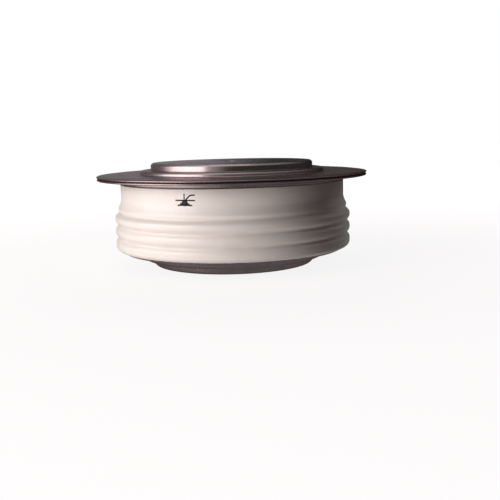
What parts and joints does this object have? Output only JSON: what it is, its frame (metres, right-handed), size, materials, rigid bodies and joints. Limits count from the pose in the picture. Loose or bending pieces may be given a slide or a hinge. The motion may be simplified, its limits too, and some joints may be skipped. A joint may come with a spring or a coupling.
{
  "type": "thyristor",
  "caption": "Press-pack thyristor capsule: ribbed glazed ceramic ring with a wide welded rim, round plated contact faces clamped between heatsinks, and a side gate pin.",
  "frame": {"origin": "centre of the anode contact face, at the bottom", "axes": "+Z along the capsule's axis from the anode face to the cathode face; +Y along the gate pin, out of the ceramic wall"},
  "size_m": [0.073, 0.073, 0.0275],
  "materials": {
    "glazed_alumina": "glossy white glaze",
    "plated_pole": "lapped nickel plating on copper",
    "plated_sheet": "satin nickel plating on formed sheet",
    "terminal_metal": "tinned",
    "molybdenum": "ground",
    "silicon": "polished",
    "silicone_rubber": "matte",
    "white_plastic": "waxy",
    "spring_metal": "drawn",
    "contact_metal": "gold plated",
    "silver_wire": "drawn"
  },
  "bodies": {
    "root": {"ceramic_housing": "glazed_alumina", "cathode_pole": "plated_pole", "anode_pole": "plated_pole", "cathode_flange": "plated_sheet", "weld_ring": "plated_sheet", "anode_flange": "plated_sheet", "gate_eyelet": "terminal_metal", "gate_tube": "terminal_metal", "gate_pin": "terminal_metal", "gate_lead": "silver_wire", "lead_sleeve": "white_plastic", "gate_insulator": "white_plastic", "spring_seat": "spring_metal", "gate_spring": "spring_metal", "gate_contact": "contact_metal", "cathode_disc": "molybdenum", "silicon_wafer": "silicon", "edge_seal": "silicone_rubber", "anode_disc": "molybdenum", "centring_ring": "white_plastic"}
  },
  "joints": []
}
